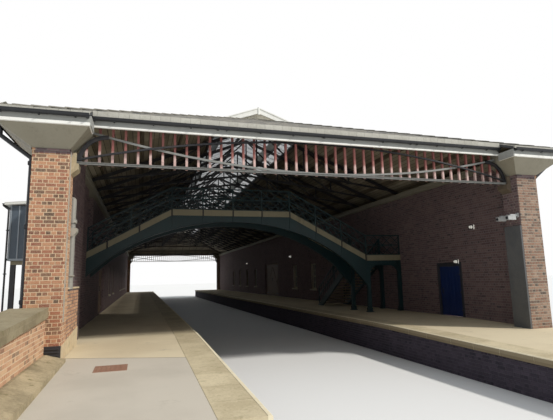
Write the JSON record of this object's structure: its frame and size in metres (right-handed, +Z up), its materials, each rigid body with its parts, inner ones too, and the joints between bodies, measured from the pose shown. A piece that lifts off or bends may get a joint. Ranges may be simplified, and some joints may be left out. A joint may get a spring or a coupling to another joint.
{
  "type": "railway station train shed building, 1:2 scale model",
  "caption": "Brick railway station train shed with hipped slate roof, iron end girders, ridge lantern, two platforms, arched footbridge and a hinged platform door; half-size model.",
  "frame": {"origin": "bottom centre of the whole building's bounding box, level with the track bed", "axes": "+X to the right as seen from the front end, +Y along the tracks into the shed, +Z up"},
  "size_m": [8.98, 32.785, 5.127],
  "materials": {
    "brick": "rough brickwork with pale mortar",
    "platform_surface": "worn paving over brick facing",
    "stone": "weathered sandstone",
    "slate": "natural slate on boards",
    "cream_timber": "old cream paint",
    "white_timber": "white paint",
    "grey_iron": "grey painted wrought iron",
    "dark_iron": "near-black painted iron",
    "pink_timber": "faded red paint",
    "teal_iron": "dark teal painted iron",
    "cream_iron": "cream painted iron",
    "roof_timber": "dark stained timber",
    "louvre_timber": "weathered grey louvres",
    "ridge_lead": "dull lead",
    "gutter_iron": "grey paint",
    "pipe_iron": "black paint",
    "glass": "old clear glass",
    "tread_timber": "worn boards",
    "panel_paint": "off-white panelling",
    "felt_roof": "pale grey sheet",
    "post_iron": "dark paint",
    "frame_timber": "painted joinery",
    "door_blue": "navy blue paint",
    "closed_door_timber": "painted boarding",
    "lamp_white": "opal shade",
    "camera_grey": "light grey housing",
    "render": "smooth grey render"
  },
  "bodies": {
    "shed": {"left_platform": "platform_surface", "right_platform": "platform_surface", "platform_copings": "stone", "left_wall_front": "brick", "left_wall_under_bridge": "brick", "left_wall_back": "brick", "right_wall_front": "brick", "right_wall_under_door": "brick", "right_wall_over_door": "brick", "right_wall_back": "brick", "corner_piers": "brick", "corner_boxes": "cream_timber", "stone_dressings": "stone", "end_girders": "grey_iron", "girder_arches": "dark_iron", "girder_bars": "pink_timber", "left_roof_slope": "slate", "right_roof_slope": "slate", "hipped_roof_ends": "slate", "roof_glazing": "glass", "lantern_sides": "louvre_timber", "lantern_gables": "white_timber", "lantern_ridge": "ridge_lead", "roof_trusses": "dark_iron", "roof_purlins": "roof_timber", "hip_end_rafters": "roof_timber", "wall_plates": "cream_timber", "side_soffits": "cream_timber", "fascia_boards": "white_timber", "gutters": "gutter_iron", "downpipes": "pipe_iron", "bridge_ribs": "teal_iron", "bridge_bands": "cream_iron", "bridge_decks": "tread_timber", "bridge_railings": "teal_iron", "bridge_columns": "teal_iron", "stair_treads": "tread_timber", "stair_sides": "teal_iron", "stair_house_walls": "panel_paint", "stair_house_roof": "felt_roof", "stair_house_posts": "post_iron", "door_frame": "frame_timber", "window_frames": "frame_timber", "window_panes": "glass", "closed_doors": "closed_door_timber", "boundary_wall": "brick", "wall_lamps": "lamp_white", "security_camera": "camera_grey", "pier_riser": "render"},
    "door_leaf": {"platform_door": "door_blue"}
  },
  "joints": [
    {"name": "door_hinge", "type": "hinge", "parent": "shed", "child": "door_leaf", "pos_m": [3.877, -12.12, 1], "axis": [0, 0, 1], "range_deg": [0, 100]}
  ]
}
